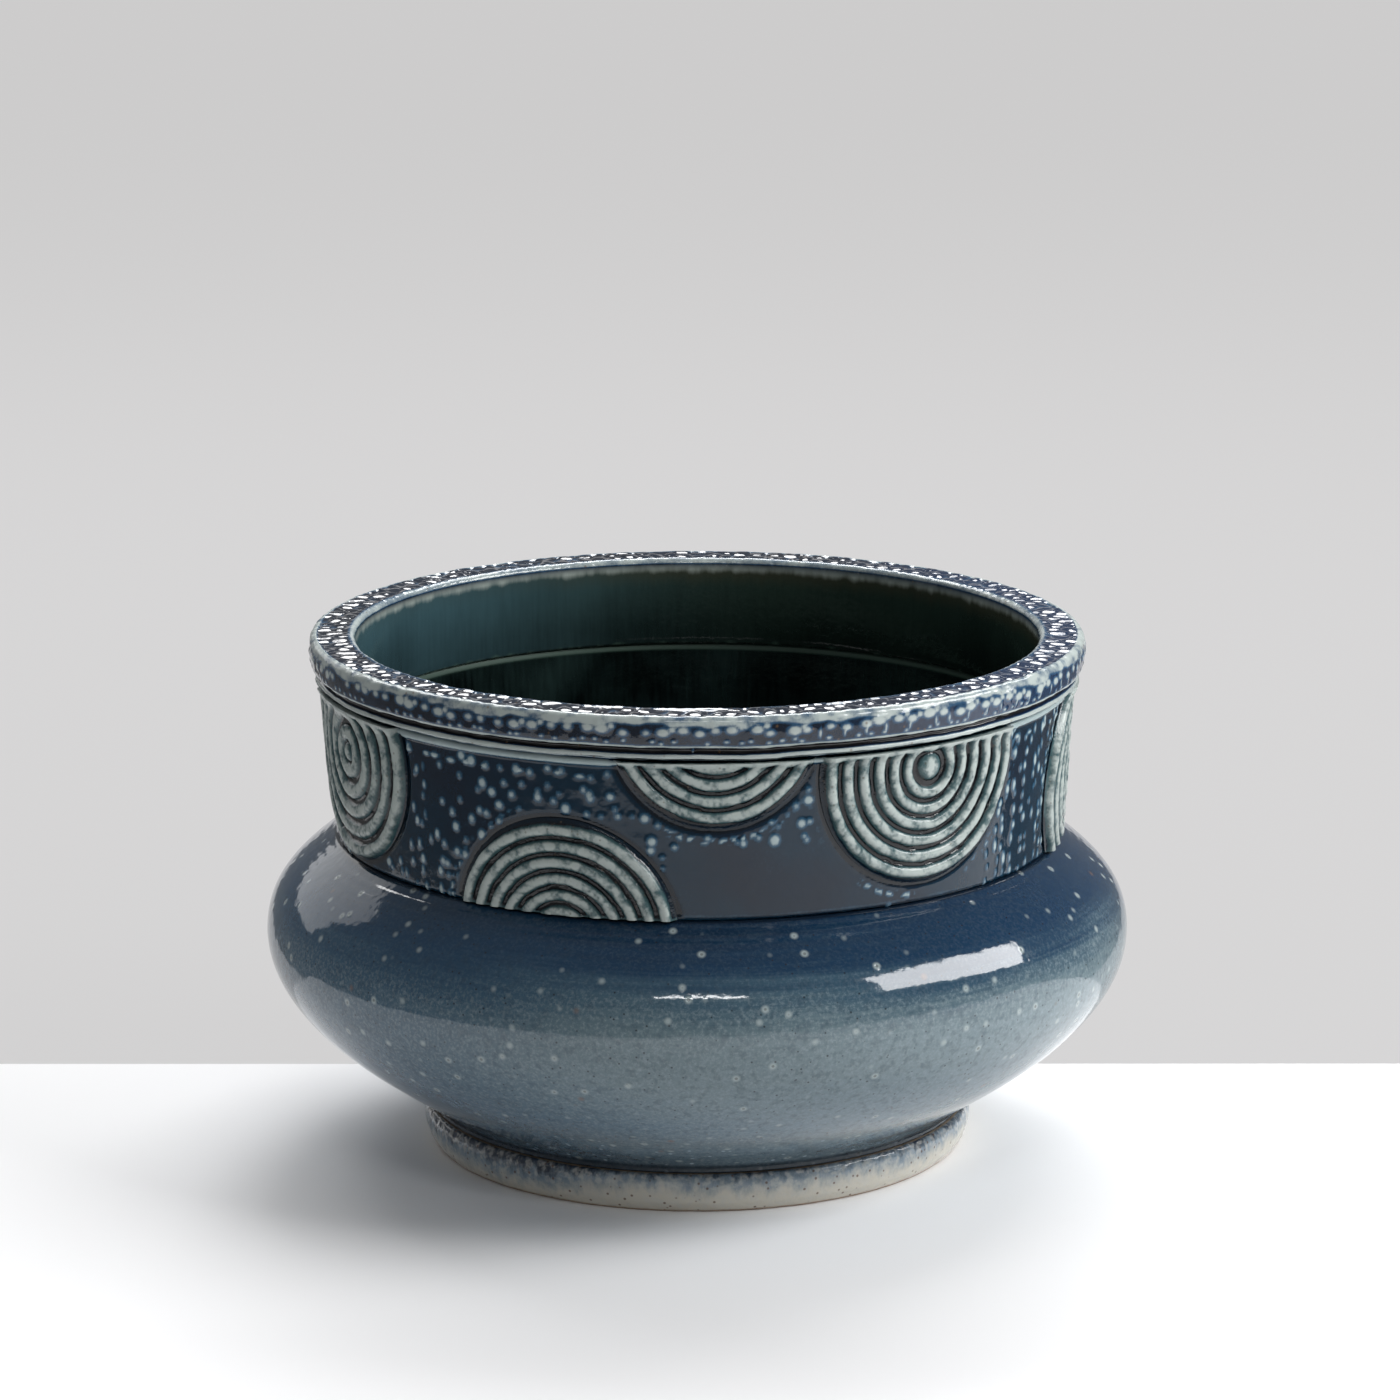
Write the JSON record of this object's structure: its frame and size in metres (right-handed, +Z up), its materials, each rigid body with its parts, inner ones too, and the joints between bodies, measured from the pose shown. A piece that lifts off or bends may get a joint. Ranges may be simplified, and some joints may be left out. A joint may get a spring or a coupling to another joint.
{
  "type": "stoneware crock",
  "caption": "Round salt-glazed stoneware crock: a wide belly on a turned foot ring, an upright collar with ridged applied roundels, and a heavy flat-topped rim.",
  "frame": {"origin": "centre of the circle that the foot ring rests on", "axes": "+Z up along the pot's axis; -Y is the front, where two roundels meet the rim side by side"},
  "size_m": [0.27, 0.27, 0.1628],
  "materials": {
    "foot_glaze": "gloss",
    "belly_glaze": "gloss",
    "collar_glaze": "gloss",
    "rim_glaze": "gloss",
    "roundel_glaze": "gloss"
  },
  "bodies": {
    "root": {"foot_ring": "foot_glaze", "bowl": "belly_glaze", "collar": "collar_glaze", "rim": "rim_glaze", "roundel_01": "roundel_glaze", "roundel_02": "roundel_glaze", "roundel_03": "roundel_glaze", "roundel_04": "roundel_glaze", "roundel_05": "roundel_glaze", "roundel_06": "roundel_glaze", "roundel_07": "roundel_glaze", "roundel_08": "roundel_glaze", "roundel_09": "roundel_glaze", "roundel_10": "roundel_glaze"}
  },
  "joints": []
}
